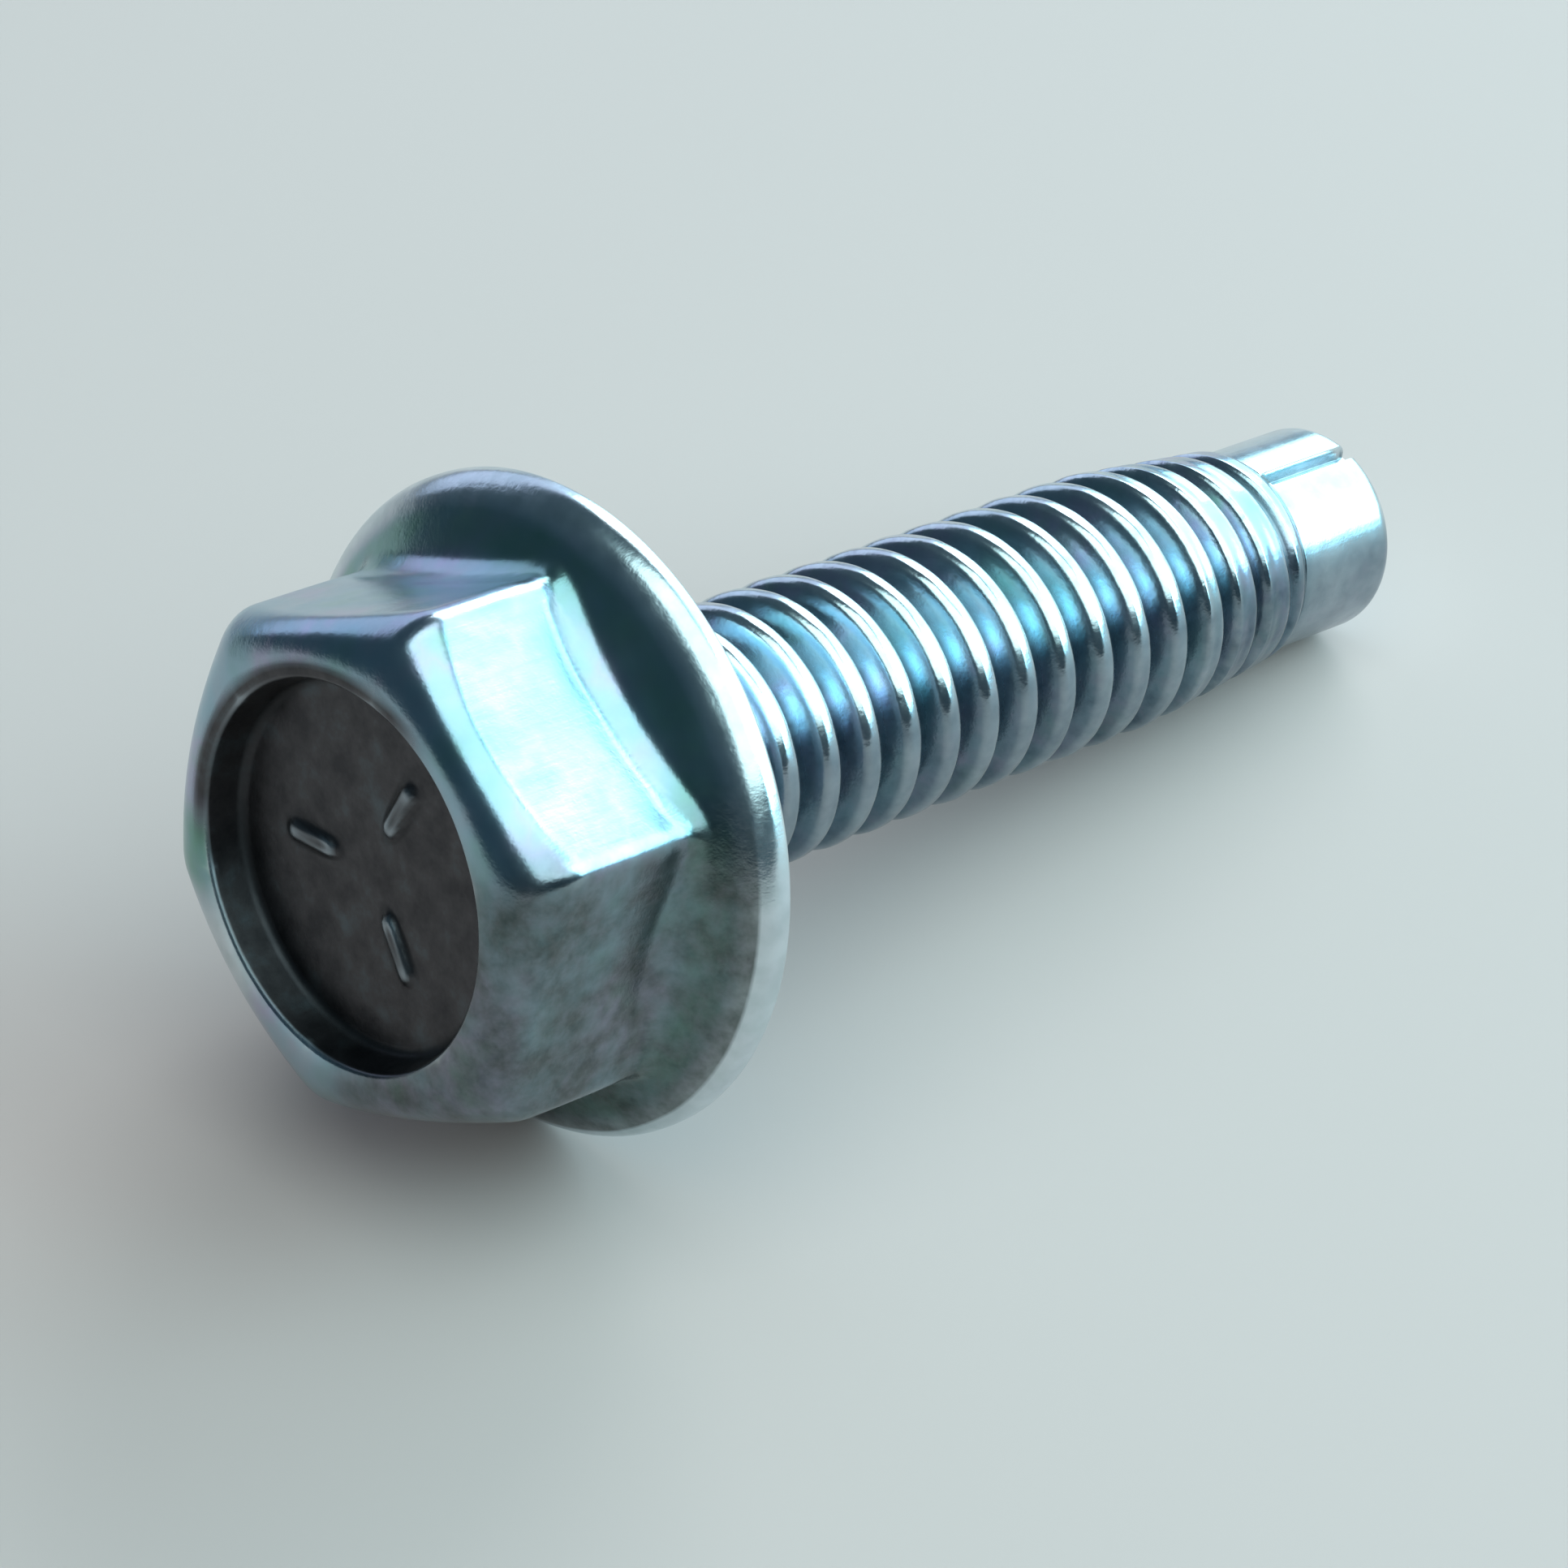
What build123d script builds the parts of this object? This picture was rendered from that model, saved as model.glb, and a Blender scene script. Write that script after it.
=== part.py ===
from build123d import *
import math
import os

# ---------------------------------------------------------------- flange bolt
# 1/4-20 UNC x 1 in body bolt with an indented hexagon head, a cone flange
# formed with the head, a thread up to the flange and a slotted dog point.
# Millimetres. The bolt is drawn along its own axis, with the bearing face of
# the flange at x = 0, the head on -X and the tip on +X. It is then laid down
# as it comes to rest on a flat surface, on the flange rim and the point.

major_r = 3.125          # outside radius of the thread (1/4 in class 2A)
root_r = 2.39            # radius at the bottom of the thread
pitch = 1.27             # 20 threads per inch
length = 25.4            # bearing face to tip
across_flats = 11.11     # 7/16 in hexagon
head_h = 6.10            # bearing face to the top of the head
flange_r = 7.50          # outside radius of the flange
rim_t = 0.66             # thickness of the rim
rim_round = 0.20         # rounding on both edges of the rim
cone_deg = 30.0          # slope of the upper side of the flange
land_r = 4.62            # flat ring at the top of the head, out to this radius
crown_round = 1.83       # rounding from there down over the hexagon corners
mouth_r = 4.35           # recess at the top of the head
floor_r = 4.18           # flat floor of the recess
recess_d = 0.95          # depth of the recess
dish = 0.20              # rounding between recess wall and floor
point_r = 2.50           # dog point
point_round = 0.40       # rounding of its end
full_thread_x = 17.5     # the crests start to draw in here
thread_end_x = 21.9      # the last crest meets the dog point here
crest_end_r = 2.66       # outside radius of the last crest
neck_r = 3.30            # cone under the flange
neck_x = 0.35
groove_start_x = 0.95    # middle of the groove where it starts, near the flange
turns = 16               # whole turns of the groove
slot_w = 0.42            # lengthwise slot in the side of the dog point
slot_depth = 0.42
slot_start_x = 21.7
slot_deg = 14.7          # place of the slot round the axis, from the top
hex_roll_deg = 4.7       # place of a hexagon corner round the axis, from the top

NODE = "flange_bolt"
tan = lambda deg: math.tan(math.radians(deg))


def turned(points):
    """A solid of revolution about X from (x, r) points of half its section."""
    face = make_face(Polyline([(x, r, 0) for x, r in points], close=True))
    return revolve(face, axis=Axis.X, revolution_arc=360)


# ------------------------------------------------------------------- the head
prism = extrude(
    Plane.YZ.offset(-head_h) * Rot(0, 0, hex_roll_deg + 90) * RegularPolygon(across_flats / 2, 6, major_radius=False),
    head_h - 0.55,
)
crown_low = (-head_h + crown_round, land_r + crown_round)
crown_mid = (
    -head_h + crown_round * (1 - math.sqrt(0.5)),
    land_r + crown_round * math.sqrt(0.5),
)
crown_line = (
    Line((-head_h, 0, 0), (-head_h, land_r, 0))
    + ThreePointArc((-head_h, land_r, 0), (*crown_mid, 0), (*crown_low, 0))
    + Line((*crown_low, 0), (0, crown_low[1], 0))
    + Line((0, crown_low[1], 0), (0, 0, 0))
    + Line((0, 0, 0), (-head_h, 0, 0))
)
crown = revolve(make_face(crown_line), axis=Axis.X, revolution_arc=360)
hexagon = prism & crown

flange_top = rim_t + (flange_r - 4.0) * tan(cone_deg)
flange = turned([
    (-flange_top, 0),
    (-flange_top, 4.0),
    (-rim_t, flange_r),
    (0, flange_r),
    (0, 0),
])
rim_edges = [e for e in flange.edges() if abs(e.length - 2 * math.pi * flange_r) < 0.2]
flange = fillet(rim_edges, rim_round)

head = hexagon + flange
base_edges = [
    e for e in head.edges()
    if -3.4 < e.center().X < -0.9 and 5.3 < math.hypot(e.center().Y, e.center().Z) < 6.6
    and abs(e.tangent_at(0.5).X) < 0.7
]
print("edges at the foot of the hexagon", len(base_edges))
head = fillet(base_edges, 0.45)

recess_face = Polyline([
    (-head_h - 0.5, 0, 0),
    (-head_h - 0.5, mouth_r + 0.5 * (mouth_r - floor_r) / recess_d, 0),
    (-head_h + recess_d, floor_r, 0),
    (-head_h + recess_d, 0, 0),
], close=True)
recess_face = make_face(recess_face)
corner = [v for v in recess_face.vertices() if abs(v.X + head_h - recess_d) < 1e-6 and v.Y > 1]
recess = revolve(fillet(corner, dish), axis=Axis.X, revolution_arc=360)
head -= recess

# ------------------------------------------------------------------ the shank
# A turned blank, with a cone under the flange, crests that draw in towards the
# point, and the plain dog point. The thread is a right-hand V groove cut into
# it turn by turn, so the crests keep the blank's own cylinder.
blank = turned([
    (-0.8, 0),
    (-0.8, neck_r),
    (0, neck_r),
    (neck_x, major_r),
    (full_thread_x, major_r),
    (thread_end_x, crest_end_r),
    (thread_end_x + 0.25, point_r),
    (length, point_r),
    (length, 0),
])
tip_edge = [e for e in blank.edges() if abs(e.center().X - length) < 1e-6 and abs(e.length - 2 * math.pi * point_r) < 0.1]
blank = fillet(tip_edge, point_round)

half_crest = pitch / 16
reach = 0.12             # the cutter stands this far outside the crests
cutter_r = major_r + reach
depth = cutter_r - root_r
half_mouth = pitch / 2 - half_crest + reach * tan(30)
half_foot = half_mouth - depth * tan(30)
cutter = sweep(
    make_face(Polyline([
        (cutter_r, 0, -half_mouth),
        (cutter_r - depth, 0, -half_foot),
        (cutter_r - depth, 0, half_foot),
        (cutter_r, 0, half_mouth),
    ], close=True)),
    path=Helix(pitch, pitch, cutter_r),
    is_frenet=True,
)
cutter = Rot(0, 90, 0) * Rot(0, 0, 40) * cutter
shank = blank
for turn in range(turns):
    shank -= Pos(groove_start_x + turn * pitch, 0, 0) * cutter
slot = (
    Rot(slot_deg, 0, 0)
    * Pos((slot_start_x + length + 1) / 2, 0, point_r)
    * Box(length + 1 - slot_start_x, slot_w, 2 * slot_depth)
)
shank -= slot

bolt = head + shank
print("volumes", round(head.volume, 1), round(shank.volume, 1), round(bolt.volume, 1), len(bolt.solids()))

# ------------------------------------------------- laid down as it comes to rest
x_rim, r_rim = -rim_round, flange_r - rim_round
x_tip, r_tip = length - point_round, point_r - point_round
tilt = 0.0
for _ in range(40):  # both rounded edges touch the surface
    s_, c_ = math.sin(tilt), math.cos(tilt)
    low_rim = x_rim * s_ + r_rim * c_ + rim_round
    low_tip = x_tip * s_ + r_tip * c_ + point_round
    tilt += (low_rim - low_tip) / (x_tip - x_rim)
lift = low_rim
print("tilt", round(math.degrees(tilt), 4), "lift", round(lift, 4))

# rotate about Y so that +X goes down, then stand the lowest points on z = 0
laid = Rot(0, math.degrees(tilt), 0) * bolt
box = laid.bounding_box()
print("box", box.min, box.max)
centre_x = (box.min.X + box.max.X) / 2
laid = Pos(-centre_x, 0, lift) * laid
print("bearing face centre", (-centre_x, 0, lift), "axis", (math.cos(tilt), 0, -math.sin(tilt)))

os.makedirs("parts", exist_ok=True)
laid.label = NODE
export_step(laid, f"parts/{NODE}.step")
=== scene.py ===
import math
import bpy
import bmesh
import numpy as np
from mathutils import Matrix, Vector


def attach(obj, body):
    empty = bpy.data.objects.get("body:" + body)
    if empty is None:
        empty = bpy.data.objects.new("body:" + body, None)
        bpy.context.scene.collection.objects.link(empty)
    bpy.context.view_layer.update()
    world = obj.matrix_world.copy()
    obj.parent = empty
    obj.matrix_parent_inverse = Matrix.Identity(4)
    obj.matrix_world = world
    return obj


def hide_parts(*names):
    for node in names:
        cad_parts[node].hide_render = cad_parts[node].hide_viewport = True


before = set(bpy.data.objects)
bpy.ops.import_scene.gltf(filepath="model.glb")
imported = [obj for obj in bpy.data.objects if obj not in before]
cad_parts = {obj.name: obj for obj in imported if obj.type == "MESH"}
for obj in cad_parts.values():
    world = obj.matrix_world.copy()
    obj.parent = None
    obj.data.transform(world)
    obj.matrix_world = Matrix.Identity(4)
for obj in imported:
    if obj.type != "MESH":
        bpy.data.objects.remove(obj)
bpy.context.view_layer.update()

# ------------------------------------------------------------------ sizes, mm
MAJOR, ROOT, PITCH = 3.125, 2.39, 1.27
LENGTH, AF, HEAD = 25.4, 11.11, 6.10
FLANGE_R, RIM_T, RIM_ROUND = 7.50, 0.66, 0.20
CONE = math.tan(math.radians(30))
LAND_R, CROWN_FLAT, CROWN_CORNER = 4.58, 0.85, 1.60
MOUTH_R, FLOOR_R, RECESS = 4.36, 4.18, 0.95
POINT_R, POINT_ROUND = 2.50, 0.40
HEX_ROLL = math.radians(90 + 4.7)
SLOT_AT = math.radians(90 + 14.7)
SLOT_HALF, SLOT_DEPTH = 0.21, 0.42
THREAD_FULL, THREAD_END, CREST_END = 17.5, 21.9, 2.66

TILT = math.radians(11.2139)
BEARING = (-9.207073939297565, 0.0, 7.32173277795964)
CT, ST = math.cos(TILT), math.sin(TILT)


def to_row(p):
    """Bolt coordinates (x along the axis, y, z) in mm to row coordinates in metres."""
    p = np.asarray(p, float)
    x = BEARING[0] + CT * p[..., 0] + ST * p[..., 2]
    y = p[..., 1]
    z = BEARING[2] - ST * p[..., 0] + CT * p[..., 2]
    return np.stack([x, y, z], -1) * 0.001


# --------------------------------------------------------------- smooth noise
rng = np.random.default_rng(7)
TABLE = rng.random((32, 32, 32))


def noise3(p):
    """Value noise from 0 to 1 at the points p, one lattice step a unit."""
    p = np.asarray(p, float)
    i = np.floor(p).astype(int)
    f = p - i
    f = f * f * (3 - 2 * f)
    out = 0.0
    for dx in (0, 1):
        for dy in (0, 1):
            for dz in (0, 1):
                w = (
                    (f[..., 0] if dx else 1 - f[..., 0])
                    * (f[..., 1] if dy else 1 - f[..., 1])
                    * (f[..., 2] if dz else 1 - f[..., 2])
                )
                out = out + w * TABLE[(i[..., 0] + dx) % 32, (i[..., 1] + dy) % 32, (i[..., 2] + dz) % 32]
    return out


def fnoise(p, octaves=3):
    out, amp, total = 0.0, 1.0, 0.0
    q = np.asarray(p, float)
    for _ in range(octaves):
        out = out + amp * (noise3(q) - 0.5)
        total += amp
        q = q * 2.03 + 17.3
        amp *= 0.5
    return 2 * out / total


def smoothstep(a, b, x):
    t = np.clip((np.asarray(x, float) - a) / (b - a), 0, 1)
    return t * t * (3 - 2 * t)


# ------------------------------------------------------- the section of a half
def rounded(points, radii, arc_steps, seg_steps):
    """A polyline in the (x, r) half plane with its inner corners rounded.
    Each straight run and each arc gives a fixed number of points, so that
    sections at different angles share one grid."""
    points = [np.array(p, float) for p in points]
    n = len(points)
    starts, ends, arcs = {0: points[0]}, {n - 1: points[-1]}, {}
    for k in range(1, n - 1):
        a, b, c = points[k - 1], points[k], points[k + 1]
        u = (a - b) / np.linalg.norm(a - b)
        v = (c - b) / np.linalg.norm(c - b)
        cosine = np.clip(u @ v, -1, 1)
        half = math.acos(cosine) / 2
        r = radii[k]
        t = min(r / math.tan(half), 0.48 * np.linalg.norm(a - b), 0.48 * np.linalg.norm(c - b))
        r = t * math.tan(half)
        m = (u + v) / np.linalg.norm(u + v)
        centre = b + m * r / math.sin(half)
        p0, p1 = b + u * t, b + v * t
        a0, a1 = p0 - centre, p1 - centre
        th0, th1 = math.atan2(a0[1], a0[0]), math.atan2(a1[1], a1[0])
        d = (th1 - th0 + math.pi) % (2 * math.pi) - math.pi
        arcs[k] = [centre + r * np.array([math.cos(th0 + d * s / arc_steps[k]), math.sin(th0 + d * s / arc_steps[k])]) for s in range(arc_steps[k] + 1)]
        ends[k], starts[k] = p0, p1
    out = []
    for k in range(n - 1):
        a, b = starts[k], ends[k + 1]
        ts = seg_steps[k]
        if k == 0:
            out.append(a)
        for s in ts:
            out.append(a + (b - a) * s)
        if k + 1 < n - 1:
            out += arcs[k + 1]
        else:
            out.append(b)
    return np.array(out)


# ------------------------------------------------------------------- the head
def hex_angles(per_side):
    """Angles round the head, with more of them at the hexagon's corners."""
    out = []
    for k in range(6):
        for s in range(per_side):
            t = s / per_side  # 0 at a corner, 1 at the next
            c = 2 * t - 1
            w = np.sign(c) * (1 - (1 - abs(c)) ** 1.55)
            out.append(HEX_ROLL + k * math.pi / 3 + math.pi / 6 * (1 + w))
    return np.array(out)


def hex_radius(phi, corner_round=0.60):
    """Distance from the axis to the side of a hexagon with rounded corners."""
    u = (phi - HEX_ROLL) % (math.pi / 3) - math.pi / 6  # 0 in the middle of a flat
    flat = (AF / 2) / np.cos(u)
    a = AF / 2
    ca = (a - corner_round) / math.cos(math.pi / 6)  # centre of the corner's arc
    v = math.pi / 6 - np.abs(u)  # angle from the corner
    start = math.atan2(corner_round * math.sin(math.pi / 6), ca + corner_round * math.cos(math.pi / 6))
    inside = v < start
    vv = np.where(inside, v, 0)
    arc = ca * np.cos(vv) + np.sqrt(np.maximum(corner_round ** 2 - (ca * np.sin(vv)) ** 2, 0))
    return np.where(inside, arc, flat)


PER_SIDE = 38
phis = hex_angles(PER_SIDE)
NH = len(phis)
floor_x = -HEAD + RECESS
ladder = lambda n: [s / (n + 1) for s in range(1, n + 1)]
# recess and land, the same all the way round
inner = rounded(
    [(floor_x, 0.0), (floor_x, FLOOR_R), (-HEAD + 0.03, MOUTH_R), (-HEAD, LAND_R)],
    [0, 0.24, 0.14, 0],
    [0, 8, 8, 0],
    [ladder(36), [0.15, 0.35, 0.5, 0.65, 0.85], [0.5]],
)
# the rim, rounded well over on the head's side, and the bearing face
corner = np.array([-RIM_T, FLANGE_R])
RIM_FROM = corner + 0.62 * np.array([-CONE, -1.0]) / math.hypot(CONE, 1.0)
rim_to = corner + np.array([0.36, 0.0])
rim = np.array([(1 - t) ** 2 * RIM_FROM + 2 * t * (1 - t) * corner + t * t * rim_to for t in np.linspace(0, 1, 11)[1:-1]])
under = rounded(
    [rim_to, (0.0, FLANGE_R), (0.0, MAJOR + 0.12), (0.30, MAJOR)],
    [0, RIM_ROUND, 0.08, 0],
    [0, 7, 3, 0],
    [[], [0.03, 0.1, 0.25, 0.5, 0.75, 0.9], [0.5]],
)
rows = []
for phi in phis:
    rh = float(hex_radius(phi))
    share = (rh - AF / 2) / (AF / math.sqrt(3) - AF / 2)
    drop = CROWN_FLAT + (CROWN_CORNER - CROWN_FLAT) * share
    crown = [
        (-HEAD + drop * (1 - math.cos(t)), LAND_R + (rh - LAND_R) * math.sin(t))
        for t in np.linspace(0, math.pi / 2, 17)[1:]
    ]
    outer = rounded(
        [crown[-1], (-(RIM_T + (FLANGE_R - rh) * CONE), rh), RIM_FROM],
        [0, 0.85, 0],
        [0, 9, 0],
        [[0.03, 0.1, 0.2, 0.35, 0.5, 0.65, 0.75, 0.84, 0.92, 0.97], [0.15, 0.4, 0.65, 0.85]],
    )
    rows.append(np.concatenate([inner, crown[:-1], outer, rim, under]))
rows = np.array(rows)  # (angle, row, (x, r))
NR = rows.shape[1]
P = np.zeros((NH, NR, 3))
P[..., 0] = rows[..., 0]
P[..., 1] = rows[..., 1] * np.cos(phis)[:, None]
P[..., 2] = rows[..., 1] * np.sin(phis)[:, None]

# three short raised bars on the floor of the recess, a plain strength grade
r_ = rows[..., 1]
on_floor = (rows[..., 0] > floor_x - 0.02) & (rows[..., 1] < FLOOR_R)
for k in range(3):
    a = HEX_ROLL + math.radians(17) + k * 2 * math.pi / 3
    along = P[..., 1] * math.cos(a) + P[..., 2] * math.sin(a)
    across = -P[..., 1] * math.sin(a) + P[..., 2] * math.cos(a)
    d = np.hypot(np.maximum(np.abs(along - 1.85) - 0.55, 0), across)
    lift = 0.13 * (1 - smoothstep(0.12, 0.30, d))
    P[..., 0] -= np.where(on_floor & (r_ < 3.3), lift, 0)

# the forming of the head leaves its faces a little uneven
n_dir = np.stack([np.zeros_like(r_), np.cos(phis)[:, None] + 0 * r_, np.sin(phis)[:, None] + 0 * r_], -1)
side = smoothstep(-HEAD + 0.2, -HEAD + 1.2, P[..., 0]) * (r_ > 5.2) * (P[..., 0] < -0.7)
P -= n_dir * (0.016 * (fnoise(P * 0.55 + 3.1, 2) + 0.6) * side)[..., None]
P[..., 0] += 0.014 * fnoise(P * 0.8 + 9.0, 2) * (r_ < 5.2) * (P[..., 0] < -1)
# a faint pressed line along the foot of each side, deeper in places
foot_x = -(RIM_T + (FLANGE_R - np.array([float(hex_radius(p)) for p in phis])) * CONE) - 0.62
from_line = (rows[..., 0] - foot_x[:, None]) / 0.20
pressed = np.exp(-from_line ** 2) * (r_ > 5.2) * (P[..., 0] < -0.9) * smoothstep(-0.35, 0.35, fnoise(P * 0.7 + 21.0, 2))
P -= n_dir * (0.038 * pressed)[..., None]

verts = [np.array([[floor_x, 0.0, 0.0]])]
head_index = np.zeros((NH, NR), int)
count = 1
for j in range(1, NR):
    head_index[:, j] = np.arange(NH) + count
    verts.append(P[:, j])
    count += NH
faces = []
for i in range(NH):
    k = (i + 1) % NH
    faces.append((0, head_index[k, 1], head_index[i, 1]))
    for j in range(1, NR - 1):
        faces.append((head_index[i, j], head_index[k, j], head_index[k, j + 1], head_index[i, j + 1]))
mesh = bpy.data.meshes.new("head_part")
mesh.from_pydata([tuple(v) for v in np.concatenate(verts)], [], faces)
head_top_loop = P[:, -1].copy()

# ------------------------------------------------------------------ the thread
CREST_ROUND = 0.34
X_A, X_B = 0.30, 22.15   # where the thread grid is cut off, mm from the bearing face


def smin(a, b, k):
    h = np.clip(0.5 + 0.5 * (b - a) / k, 0, 1)
    return b * (1 - h) + a * h - k * h * (1 - h)


def outside(x):
    """Radius of the blank outside the crests."""
    r = np.full_like(x, MAJOR)
    r = np.where(x > THREAD_FULL, MAJOR + (CREST_END - MAJOR) * (x - THREAD_FULL) / (THREAD_END - THREAD_FULL), r)
    end = POINT_R + (CREST_END - POINT_R) * np.clip((X_B - x) / (X_B - THREAD_END), 0, 1)
    return np.where(x > THREAD_END, end, r)


def thread_radius(x, phi, u):
    """Radius at x; phi is not used; u is the distance along the axis to the nearest crest."""
    top = outside(x)
    d = np.abs(u)
    flank = MAJOR + CREST_ROUND - d * math.sqrt(3)
    crest = MAJOR - CREST_ROUND + np.sqrt(np.maximum(CREST_ROUND ** 2 - d ** 2, 0))
    form = np.where(d < CREST_ROUND * math.sin(math.pi / 3), crest, flank)
    # keep a level groove floor while the crests draw in
    r = smin(form, top, 0.04)
    r = -smin(-r, -(ROOT + 0 * x), 0.16)
    fade = smoothstep(0.35, 1.05, x) * (1 - smoothstep(21.2, 22.1, x))
    return top * (1 - fade) + np.minimum(r, top) * fade


OFFSETS = [0.0, 0.06, 0.12, 0.17, 0.215, 0.255, 0.295, 0.36, 0.43, 0.50, 0.565]
offsets = sorted(set([round(v, 4) for v in OFFSETS] + [round(PITCH - v, 4) for v in OFFSETS if v > 0] + [round(PITCH / 2, 4)]))
NPP = len(offsets)
NT = 144
PHASE = 0.0
turns_before, turns_all = 2, 21
xs = np.array([t * PITCH + o for t in range(turns_all) for o in offsets])
us = np.array([(o if o <= PITCH / 2 else o - PITCH) for t in range(turns_all) for o in offsets])
NJ = len(xs)
tphi = np.arange(NT) / NT * 2 * math.pi
X = -turns_before * PITCH + PHASE + xs[None, :] + tphi[:, None] / (2 * math.pi) * PITCH
U = np.broadcast_to(us[None, :], X.shape)
PH = np.broadcast_to(tphi[:, None], X.shape)
Rr = thread_radius(X, PH, U)
pt = np.stack([X, Rr * np.cos(PH), Rr * np.sin(PH)], -1)
# rolled crests are never quite even
crest = smoothstep(0.55, 0.0, np.abs(U) / 0.35) * smoothstep(0.8, 1.6, X) * (1 - smoothstep(20.8, 22.0, X))
Rr = Rr - crest * 0.020 * (0.5 + 0.9 * fnoise(pt * 1.7 + 5.0, 2)) - 0.006 * (0.5 + fnoise(pt * 4.0, 2)) * smoothstep(0.8, 1.6, X) * (1 - smoothstep(20.8, 22.0, X))
pt = np.stack([X, Rr * np.cos(PH), Rr * np.sin(PH)], -1)
tindex = np.arange(NT * NJ).reshape(NT, NJ)
tfaces = []
for i in range(NT):
    for j in range(NJ - 1):
        if i < NT - 1:
            quad = (tindex[i, j], tindex[i + 1, j], tindex[i + 1, j + 1], tindex[i, j + 1])
        else:
            if j + 1 + NPP >= NJ:
                continue
            quad = (tindex[i, j], tindex[0, j + NPP], tindex[0, j + 1 + NPP], tindex[i, j + 1])
        tfaces.append(quad)
tmesh = bpy.data.meshes.new("thread_part")
tmesh.from_pydata([tuple(v) for v in pt.reshape(-1, 3)], [], tfaces)

# --------------------------------------------------------------- the dog point
slot_side = [0.0, 0.06, 0.12, 0.155, 0.175, 0.19, 0.205, 0.22, 0.24, 0.27, 0.32, 0.40, 0.5]
slot_angles = sorted(set([s / POINT_R for s in slot_side] + [-s / POINT_R for s in slot_side]))
rest = np.linspace(slot_angles[-1], 2 * math.pi + slot_angles[0], 112)[1:-1]
dphi = np.array(slot_angles + list(rest)) + SLOT_AT
ND = len(dphi)
arc_from = ((dphi - SLOT_AT + math.pi) % (2 * math.pi) - math.pi) * POINT_R
profile = rounded(
    [(X_B, POINT_R), (LENGTH, POINT_R), (LENGTH, 0.0)],
    [0, POINT_ROUND, 0], [0, 9, 0],
    [[0.02, 0.05, 0.08, 0.12, 0.2, 0.3, 0.4, 0.5, 0.6, 0.7, 0.8, 0.9], [0.03, 0.08, 0.15, 0.3, 0.5, 0.7, 0.85]],
)
ND_ROWS = len(profile)
cut = (1 - smoothstep(0.185, 0.225, np.abs(arc_from)))
D = np.zeros((ND, ND_ROWS, 3))
for i in range(ND):
    depth = SLOT_DEPTH * cut[i] * smoothstep(X_B + 0.05, X_B + 0.40, profile[:, 0])
    r = profile[:, 1]
    r = np.where(r > POINT_R - SLOT_DEPTH, np.minimum(r, np.maximum(r - depth, POINT_R - SLOT_DEPTH - 0.02)), r)
    r = np.where(profile[:, 1] <= POINT_R - SLOT_DEPTH, profile[:, 1] * (1 - 0.02 * cut[i]), r)
    D[i, :, 0] = profile[:, 0]
    D[i, :, 1] = r * math.cos(dphi[i])
    D[i, :, 2] = r * math.sin(dphi[i])
# the end face is a little dished where it was cropped
rr = np.hypot(D[..., 1], D[..., 2])
D[..., 0] -= 0.015 * (1 - smoothstep(0.2, 2.0, rr)) * (D[..., 0] > LENGTH - 0.01)
dverts, dfaces = [], []
dindex = np.zeros((ND, ND_ROWS), int)
c = 0
for j in range(ND_ROWS - 1):
    dindex[:, j] = np.arange(ND) + c
    dverts.append(D[:, j])
    c += ND
dverts.append(D[:1, -1])
for i in range(ND):
    k = (i + 1) % ND
    for j in range(ND_ROWS - 2):
        dfaces.append((dindex[i, j], dindex[k, j], dindex[k, j + 1], dindex[i, j + 1]))
    dfaces.append((dindex[i, ND_ROWS - 2], dindex[k, ND_ROWS - 2], c))
dmesh = bpy.data.meshes.new("point_part")
dmesh.from_pydata([tuple(v) for v in np.concatenate(dverts)], [], dfaces)

# ----------------------------------------------------- the three joined to one
bm = bmesh.new()
bm.from_mesh(tmesh)
for x, outer in ((X_A, False), (X_B, True)):
    bmesh.ops.bisect_plane(
        bm, geom=bm.verts[:] + bm.edges[:] + bm.faces[:], dist=1e-6,
        plane_co=(x, 0, 0), plane_no=(1, 0, 0), clear_inner=not outer, clear_outer=outer,
    )
bmesh.ops.remove_doubles(bm, verts=bm.verts[:], dist=1e-4)
bm.to_mesh(tmesh)
bm.free()

bm = bmesh.new()
bm.from_mesh(mesh)
bm.from_mesh(tmesh)
bm.from_mesh(dmesh)


def open_loop(x):
    """The open edges at x: two rings that lie on one another."""
    return [e for e in bm.edges if len(e.link_faces) == 1 and all(abs(v.co.x - x) < 2e-3 for v in e.verts)]


for x in (X_A, X_B):
    loop = open_loop(x)
    # the vertices of the two rings, sorted by angle round the axis; only their number is printed
    ring = sorted({v for e in loop for v in e.verts}, key=lambda v: (round(math.atan2(v.co.z, v.co.y), 6), v.index))
    print("open edges at", x, len(loop), "vertices", len(ring))
    bmesh.ops.bridge_loops(bm, edges=loop)
bmesh.ops.recalc_face_normals(bm, faces=bm.faces[:])
still_open = [e for e in bm.edges if len(e.link_faces) != 2]
print("edges not shared by two faces", len(still_open))
bolt_mesh = bpy.data.meshes.new("flange_bolt_looks")
bm.to_mesh(bolt_mesh)
bm.free()
for m in (mesh, tmesh, dmesh):
    bpy.data.meshes.remove(m)

co = np.zeros(len(bolt_mesh.vertices) * 3)
bolt_mesh.vertices.foreach_get("co", co)
co = co.reshape(-1, 3)
bolt_mm = co.copy()

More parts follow.
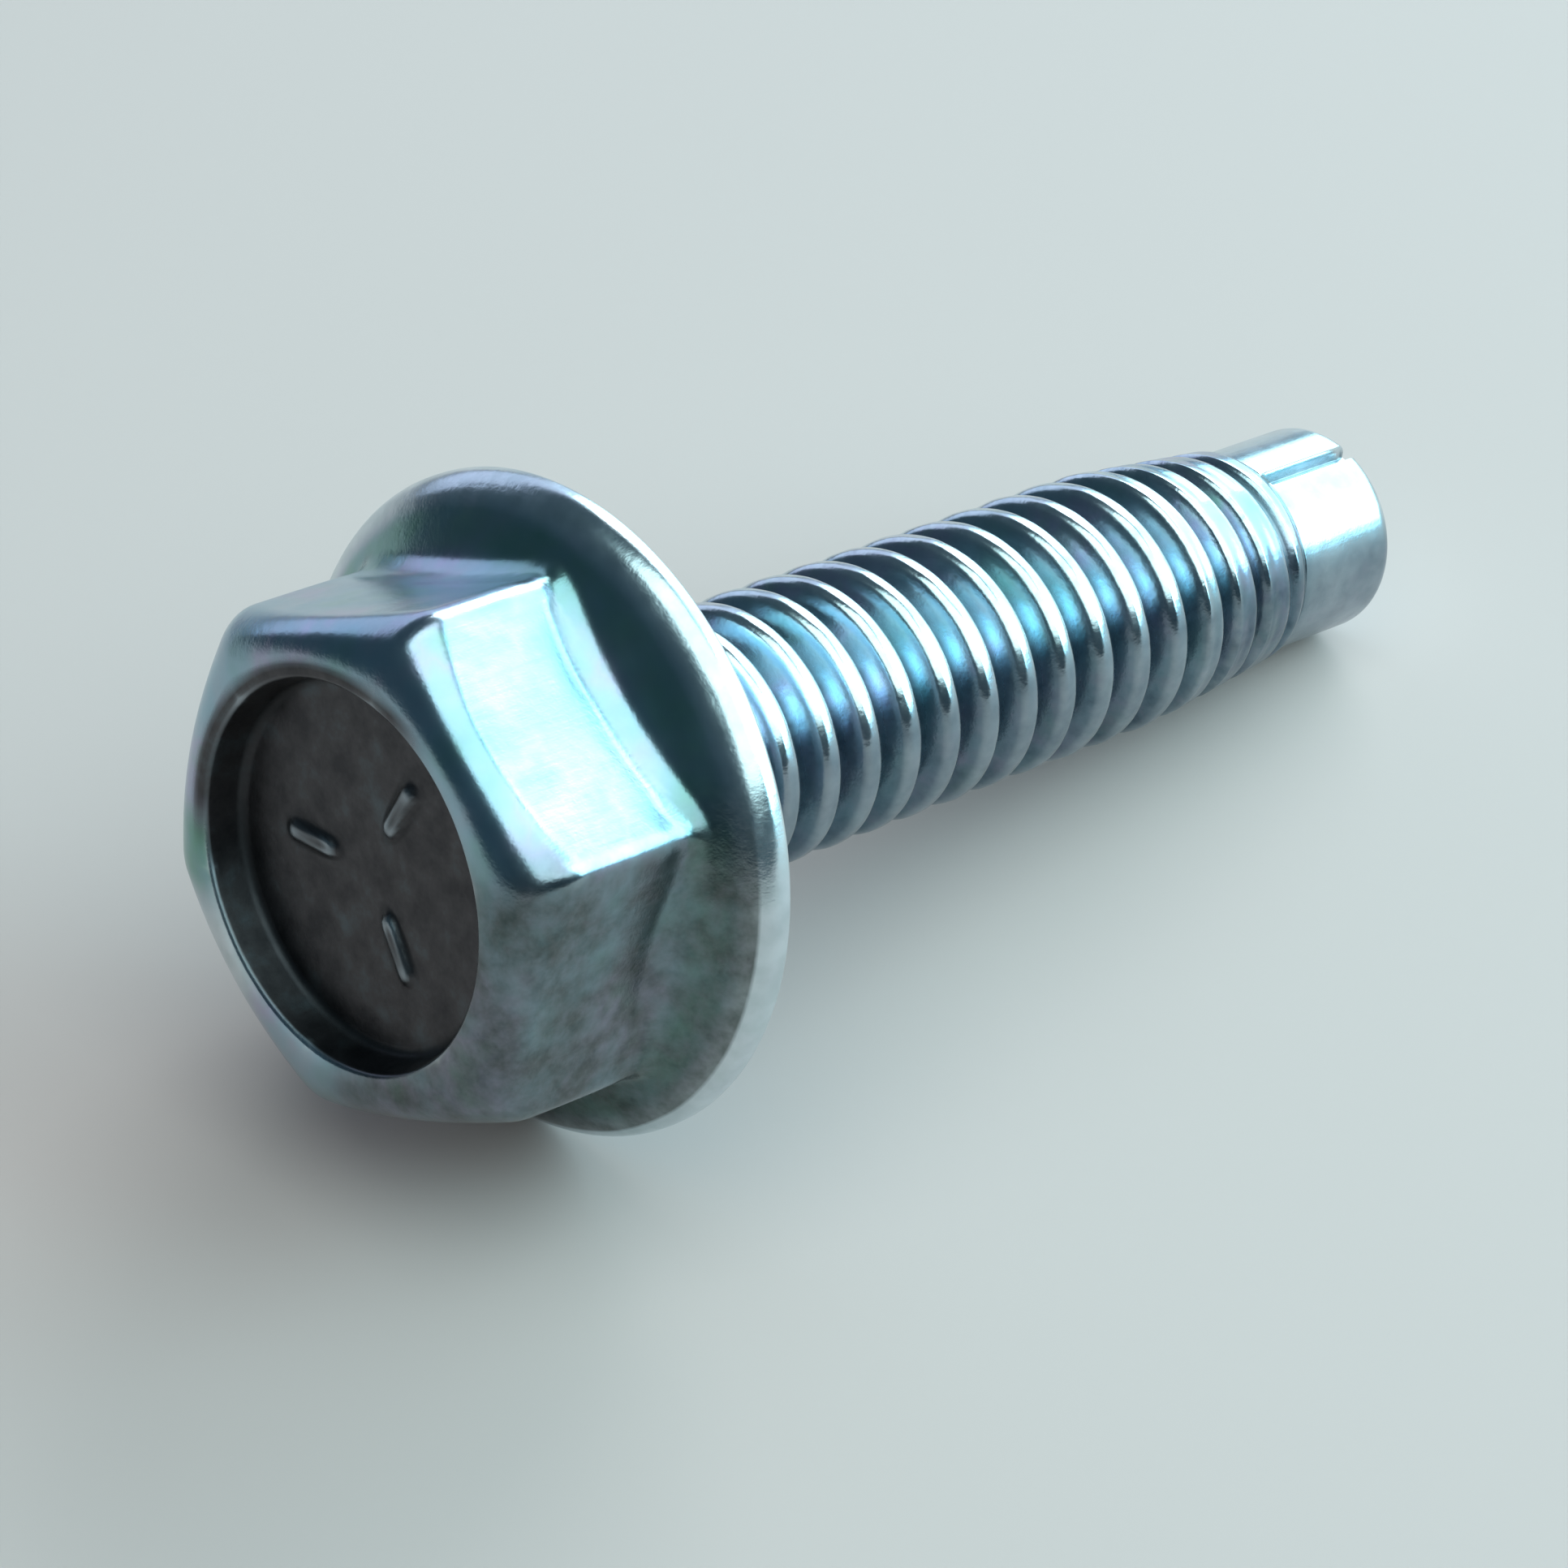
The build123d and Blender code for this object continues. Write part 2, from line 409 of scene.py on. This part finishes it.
# convex edges and hollows
edges = np.zeros(len(bolt_mesh.edges) * 2, int)
bolt_mesh.edges.foreach_get("vertices", edges)
edges = edges.reshape(-1, 2)
normal = np.zeros(len(co) * 3)
bolt_mesh.vertices.foreach_get("normal", normal)
normal = normal.reshape(-1, 3)
dvec = co[edges[:, 1]] - co[edges[:, 0]]
L = np.maximum(np.linalg.norm(dvec, axis=1), 1e-4)
dn = normal[edges[:, 1]] - normal[edges[:, 0]]
k_edge = (dn * dvec).sum(1) / L ** 2      # positive where convex
acc, wsum = np.zeros(len(co)), np.zeros(len(co))
for s in (0, 1):
    np.add.at(acc, edges[:, s], k_edge * L)
    np.add.at(wsum, edges[:, s], L)
curve = acc / np.maximum(wsum, 1e-9)
for _ in range(3):
    acc, wsum = curve * 1.0, np.ones(len(co))
    w = np.exp(-(L / 0.18) ** 2)
    np.add.at(acc, edges[:, 0], curve[edges[:, 1]] * w)
    np.add.at(wsum, edges[:, 0], w)
    np.add.at(acc, edges[:, 1], curve[edges[:, 0]] * w)
    np.add.at(wsum, edges[:, 1], w)
    curve = acc / wsum
edge_mask = smoothstep(0.35, 1.8, curve)
hollow_mask = smoothstep(0.15, 1.4, -curve)

rad = np.hypot(bolt_mm[:, 1], bolt_mm[:, 2])
# painted shade: the recess is given a dark colour that stands in for its shade and the dark surroundings it reflects
recess_painted_shade_mask = (1 - smoothstep(MOUTH_R - 0.02, MOUTH_R + 0.10, rad)) * (bolt_mm[:, 0] < -3.0)
around = np.degrees(np.arctan2(bolt_mm[:, 2], bolt_mm[:, 1])) % 360
x_ = bolt_mm[:, 0]
on_head, on_shank = x_ < -0.75, x_ > 0.5


def window(a, b, soft):
    """1 between the angles a and b round the bolt, 0 a little outside them."""
    half = (b - a) / 2
    d = np.abs((around - (a + b) / 2 + 180) % 360 - 180)
    return 1 - smoothstep(half - soft / 2, half + soft / 2, d)


lip = smoothstep(4.20, 4.40, rad) * (x_ < -4.5)
# painted shade: the head's lower faces, picked by angle round the bolt, take a darker colour that stands in for shade
head_dull = window(152, 262, 22) * np.where(x_ < -4.5, lip, 1.0) * on_head
dull_mask = head_dull
shade_mask = window(152, 268, 26) * on_shank * smoothstep(2.12, 2.36, rad)
# painted shade: on one side round the bolt, the land and crown beside the mouth take the recess's dark colour too
recess_painted_shade_mask = np.maximum(recess_painted_shade_mask, window(-14, 112, 24) * (1 - smoothstep(4.62, 4.86, rad)) * (x_ < -4.5))
# painted highlight: a lighter colour where the lamps glint, on the dog point, the rim, the crest tops and a patch of
# the lip
bright_mask = smoothstep(22.0, 22.5, x_) * 0.9                                   # painted highlight on the dog point
bright_mask = np.maximum(bright_mask, smoothstep(6.75, 7.2, rad) * (x_ < 0.2) * smoothstep(-1.5, -1.0, x_))   # painted highlight on the rim
bright_mask = np.maximum(bright_mask, 0.75 * smoothstep(2.90, 3.08, rad) * (x_ > 0.8) * (x_ < 22))     # painted highlight on the crests
# painted highlight on the lip at its lower left
bright_mask = np.maximum(bright_mask, window(298, 326, 16) * lip)
# painted reflection: a dark green colour on the flange cone and on a patch of the lip, standing in for green
# surroundings reflected there
green_mask = 0.75 * smoothstep(5.75, 6.3, rad) * (1 - smoothstep(6.7, 7.1, rad)) * (x_ < -0.7) * (x_ > -1.75)
green_mask = np.maximum(green_mask, window(328, 350, 12) * lip)
bolt_mesh.vertices.foreach_set("co", to_row(co).ravel())
for name, data in (("edge", edge_mask), ("hollow", hollow_mask), ("recess", recess_painted_shade_mask), ("dull", dull_mask),
                   ("bright", bright_mask), ("green", green_mask), ("shade", shade_mask)):
    a = bolt_mesh.attributes.new(name, "FLOAT", "POINT")
    a.data.foreach_set("value", data.astype(np.float32))
# bolt coordinates, for marks that run along or round the axis
phi_all = np.arctan2(bolt_mm[:, 2], bolt_mm[:, 1])
a = bolt_mesh.attributes.new("bolt_mm", "FLOAT_VECTOR", "POINT")
a.data.foreach_set("vector", bolt_mm.astype(np.float32).ravel())
bolt_mesh.update()
bolt = bpy.data.objects.new("flange_bolt_looks", bolt_mesh)
bpy.context.scene.collection.objects.link(bolt)
for p in bolt_mesh.polygons:
    p.use_smooth = True
print("triangles", sum(len(p.vertices) - 2 for p in bolt_mesh.polygons))

# ----------------------------------------------------------------- the finish
mat = bpy.data.materials.new("zinc_plated_steel")
mat.use_nodes = True
nt = mat.node_tree
nt.nodes.clear()
N, LK = nt.nodes.new, nt.links.new


def node(kind, **inputs):
    n = N(kind)
    for k, v in inputs.items():
        if k.startswith("_"):
            setattr(n, k[1:], v)
        else:
            n.inputs[k.replace("__", " ")].default_value = v
    return n


out = N("ShaderNodeOutputMaterial")
bsdf = N("ShaderNodeBsdfPrincipled")
LK(bsdf.outputs["BSDF"], out.inputs["Surface"])
bsdf.inputs["Metallic"].default_value = 1.0


def attr(name):
    n = N("ShaderNodeAttribute")
    n.attribute_name = name
    return n


at_edge, at_hollow, at_recess_painted_shade, at_dull, at_mm = attr("edge"), attr("hollow"), attr("recess"), attr("dull"), attr("bolt_mm")
at_bright, at_green, at_shade = attr("bright"), attr("green"), attr("shade")


def noise(scale, detail=3.0, rough=0.55, vector=None, distortion=0.0):
    n = N("ShaderNodeTexNoise")
    n.inputs["Scale"].default_value = scale
    n.inputs["Detail"].default_value = detail
    n.inputs["Roughness"].default_value = rough
    n.inputs["Distortion"].default_value = distortion
    LK((vector or at_mm).outputs["Vector"] if vector is None else vector, n.inputs["Vector"])
    return n


def ramp(fac, stops, interpolation="LINEAR"):
    n = N("ShaderNodeValToRGB")
    n.color_ramp.interpolation = interpolation
    els = n.color_ramp.elements
    while len(els) > 1:
        els.remove(els[0])
    els[0].position, els[0].color = stops[0][0], (*stops[0][1], 1)
    for pos, col in stops[1:]:
        e = els.new(pos)
        e.color = (*col, 1)
    LK(fac, n.inputs["Fac"])
    return n.outputs["Color"]


def mix(fac, a, b, kind="MIX"):
    n = N("ShaderNodeMix")
    n.data_type = "RGBA"
    n.blend_type = kind
    if isinstance(fac, (int, float)):
        n.inputs[0].default_value = fac
    else:
        LK(fac, n.inputs[0])
    for value, idx in ((a, 6), (b, 7)):
        if isinstance(value, tuple):
            n.inputs[idx].default_value = (*value, 1)
        else:
            LK(value, n.inputs[idx])
    return n.outputs[2]


def math_(op, a, b=None, clamp=False):
    n = N("ShaderNodeMath")
    n.operation = op
    n.use_clamp = clamp
    for k, v in enumerate((a, b)):
        if v is None:
            continue
        if isinstance(v, (int, float)):
            n.inputs[k].default_value = v
        else:
            LK(v, n.inputs[k])
    return n.outputs[0]


def scaled(vector, sx, sy, sz):
    n = N("ShaderNodeMapping")
    n.inputs["Scale"].default_value = (sx, sy, sz)
    LK(vector, n.inputs["Vector"])
    return n.outputs["Vector"]


mm = at_mm.outputs["Vector"]
hue = noise(0.42, 3.0, 0.55)
tint = ramp(hue.outputs["Fac"], [
    (0.30, (0.27, 0.44, 0.46)), (0.43, (0.32, 0.46, 0.54)), (0.52, (0.36, 0.46, 0.54)),
    (0.60, (0.42, 0.43, 0.56)), (0.72, (0.31, 0.46, 0.43)),
])
# the dark green of the painted reflection
tint = mix(math_("MULTIPLY", at_green.outputs["Fac"], 0.93), tint, ramp(noise(1.2, 3.0).outputs["Fac"], [(0.35, (0.17, 0.36, 0.28)), (0.65, (0.20, 0.36, 0.36))]))
# the lighter colour of the painted highlights
tint = mix(math_("MULTIPLY", at_bright.outputs["Fac"], 0.85), tint, ramp(noise(1.9, 3.0).outputs["Fac"], [(0.35, (0.60, 0.68, 0.70)), (0.65, (0.70, 0.77, 0.80))]))
cloud = noise(1.6, 4.0, 0.6)
tint = mix(ramp(cloud.outputs["Fac"], [(0.42, (0.0, 0.0, 0.0)), (0.78, (0.20, 0.20, 0.20))]), tint, (0.27, 0.34, 0.37))
# lighter worn edges, over a colour that already holds painted highlights and a painted reflection
wear_and_painted_light = mix(math_("MULTIPLY", at_edge.outputs["Fac"], ramp(noise(3.1, 3.0).outputs["Fac"], [(0.30, (0.15, 0.15, 0.15)), (0.62, (1, 1, 1))]), True), tint, (0.74, 0.82, 0.84))
dirt_amount = math_("MULTIPLY", at_hollow.outputs["Fac"], ramp(noise(2.3, 4.0).outputs["Fac"], [(0.25, (0.45, 0.45, 0.45)), (0.7, (1, 1, 1))]), True)
# dirt in the hollows; painted shade is laid over this below
dirt_and_painted_light = mix(dirt_amount, wear_and_painted_light, (0.13, 0.17, 0.20))
# the dark colour of the painted shade in the recess and on the land beside it
recess_painted_shade_col = ramp(noise(1.1, 4.0, 0.6).outputs["Fac"], [(0.35, (0.052, 0.050, 0.054)), (0.55, (0.080, 0.076, 0.080)), (0.72, (0.098, 0.112, 0.122))])
recess_painted_shade_col = mix(at_edge.outputs["Fac"], recess_painted_shade_col, (0.30, 0.34, 0.37))
# painted shade: darker still in the recess's inner corner
recess_painted_shade_col = mix(math_("MULTIPLY", at_hollow.outputs["Fac"], 0.9), recess_painted_shade_col, (0.03, 0.03, 0.032))
blotch = noise(0.8, 4.0, 0.6)
# painted shade on the head's lower faces, blotchy, with lighter edges
dull_amount = math_("MULTIPLY", at_dull.outputs["Fac"], ramp(blotch.outputs["Fac"], [(0.30, (0.55, 0.55, 0.55)), (0.65, (1, 1, 1))]), True)
dull_col = ramp(noise(2.6, 4.0, 0.65).outputs["Fac"], [(0.32, (0.050, 0.065, 0.058)), (0.52, (0.090, 0.102, 0.098)), (0.70, (0.125, 0.130, 0.140))])
dull_col = mix(math_("MULTIPLY", at_edge.outputs["Fac"], 0.5), dull_col, (0.30, 0.33, 0.34))
dirt_and_painted_light = mix(math_("MULTIPLY", dull_amount, 0.92), dirt_and_painted_light, dull_col)
shade_amount = math_("MULTIPLY", at_shade.outputs["Fac"], ramp(blotch.outputs["Fac"], [(0.30, (0.70, 0.70, 0.70)), (0.65, (1, 1, 1))]), True)
shade_col = ramp(noise(1.4, 4.0, 0.6).outputs["Fac"], [(0.35, (0.05, 0.085, 0.12)), (0.52, (0.09, 0.14, 0.18)), (0.68, (0.13, 0.15, 0.20))])
# the crest tops keep part of their painted highlight inside the painted shade on the shank
shade_col = mix(math_("MULTIPLY", at_bright.outputs["Fac"], 0.45), shade_col, (0.34, 0.40, 0.46))
dirt_and_painted_light = mix(math_("MULTIPLY", shade_amount, 0.9), dirt_and_painted_light, shade_col)
colour = mix(at_recess_painted_shade.outputs["Fac"], dirt_and_painted_light, recess_painted_shade_col)
LK(colour, bsdf.inputs["Base Color"])

grain = noise(9.0, 4.0, 0.65)
broad = noise(1.3, 2.0, 0.5)
rough = math_("ADD", math_("MULTIPLY", grain.outputs["Fac"], 0.07), math_("MULTIPLY", broad.outputs["Fac"], 0.12))
rough = math_("ADD", rough, 0.12)
rough = math_("ADD", rough, math_("MULTIPLY", dirt_amount, 0.18))
rough = math_("SUBTRACT", rough, math_("MULTIPLY", at_edge.outputs["Fac"], 0.05))
rough = math_("ADD", rough, math_("MULTIPLY", at_recess_painted_shade.outputs["Fac"], 0.16), True)
LK(rough, bsdf.inputs["Roughness"])

# drawn lines along the flats and the shank, an uneven skin, and a fine grain
lines = noise(1.0, 2.0, 0.6, vector=scaled(mm, 0.35, 5.5, 5.5))
skin = noise(2.2, 3.0, 0.55)
fine = noise(16.0, 3.0, 0.6)
pits = N("ShaderNodeTexVoronoi")
pits.inputs["Scale"].default_value = 1.9
LK(mm, pits.inputs["Vector"])
pit = ramp(pits.outputs["Distance"], [(0.0, (0, 0, 0)), (0.10, (1, 1, 1))])
height = math_("ADD", math_("MULTIPLY", lines.outputs["Fac"], 0.16), math_("MULTIPLY", skin.outputs["Fac"], 0.30))
height = math_("ADD", height, math_("MULTIPLY", fine.outputs["Fac"], 0.10))
height = math_("ADD", height, math_("MULTIPLY", pit, 0.06))
bump = N("ShaderNodeBump")
bump.inputs["Strength"].default_value = 0.35
bump.inputs["Distance"].default_value = 0.00006
LK(height, bump.inputs["Height"])
LK(bump.outputs["Normal"], bsdf.inputs["Normal"])
bolt_mesh.materials.append(mat)

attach(bolt, "root")
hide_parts("flange_bolt")

# ------------------------------------------------------------------ the stage
scene = bpy.context.scene
bpy.ops.mesh.primitive_grid_add(x_subdivisions=2, y_subdivisions=2, size=3.0)
floor = bpy.context.object
floor.name = "floor"
fmat = bpy.data.materials.new("floor")
fmat.use_nodes = True
fb = fmat.node_tree.nodes["Principled BSDF"]
fb.inputs["Base Color"].default_value = (0.49, 0.365, 0.335, 1)
fb.inputs["Roughness"].default_value = 0.8
floor.data.materials.append(fmat)

scene.view_settings.view_transform = "Standard"
world = bpy.data.worlds.new("studio")
scene.world = world
world.use_nodes = True
world.node_tree.nodes["Background"].inputs["Color"].default_value = (0.30, 0.54, 0.72, 1)
world.node_tree.nodes["Background"].inputs["Strength"].default_value = 0.14


def soft_light(name, direction, distance, size, radiance, colour):
    d = Vector(direction).normalized()
    data = bpy.data.lights.new(name, "AREA")
    data.shape = "RECTANGLE"
    data.size, data.size_y = size
    data.energy = radiance * math.pi * size[0] * size[1]
    data.color = colour
    o = bpy.data.objects.new(name, data)
    scene.collection.objects.link(o)
    o.location = Vector((0, 0, 0.006)) + d * distance
    o.rotation_euler = (-d).to_track_quat("-Z", "Y").to_euler()
    return o


soft_light("side", (0.85, -0.17, 0.44), 0.50, (1.15, 0.44), 3.4, (0.48, 0.86, 1.0))
soft_light("top", (-0.11, -0.45, 0.88), 0.50, (0.68, 0.78), 2.2, (0.72, 0.97, 0.98))
soft_light("key", (0.62, -0.63, 0.46), 0.42, (0.27, 0.30), 4.2, (0.46, 0.90, 1.0))
soft_light("edge", (0.74, 0.36, 0.56), 0.42, (0.20, 0.20), 5.0, (0.86, 0.96, 1.0))
soft_light("back", (0.30, 0.88, 0.34), 0.50, (0.58, 0.28), 1.0, (0.66, 0.76, 1.0))

# ----------------------------------------------------------------- the camera
right = Vector((0.725231701, -0.688504887, 0.0))
down = Vector((-0.42557667, -0.44827815, -0.786086))
forward = Vector((0.54122405, 0.57009449, -0.61811714))
cam_at = (Vector(BEARING) + Vector((-67.38349568, -78.34888024, 81.64478472))) * 0.001
cam_data = bpy.data.cameras.new("photo_view")
cam = bpy.data.objects.new("photo_view", cam_data)
scene.collection.objects.link(cam)
m = Matrix((
    (right.x, -down.x, -forward.x, cam_at.x),
    (right.y, -down.y, -forward.y, cam_at.y),
    (right.z, -down.z, -forward.z, cam_at.z),
    (0, 0, 0, 1),
))
cam.matrix_world = m
cam_data.sensor_width = 36.0
cam_data.lens = 7466.764836 / 1932 * 36.0
cam_data.clip_start, cam_data.clip_end = 0.005, 20.0
scene.camera = cam

bpy.context.view_layer.update()
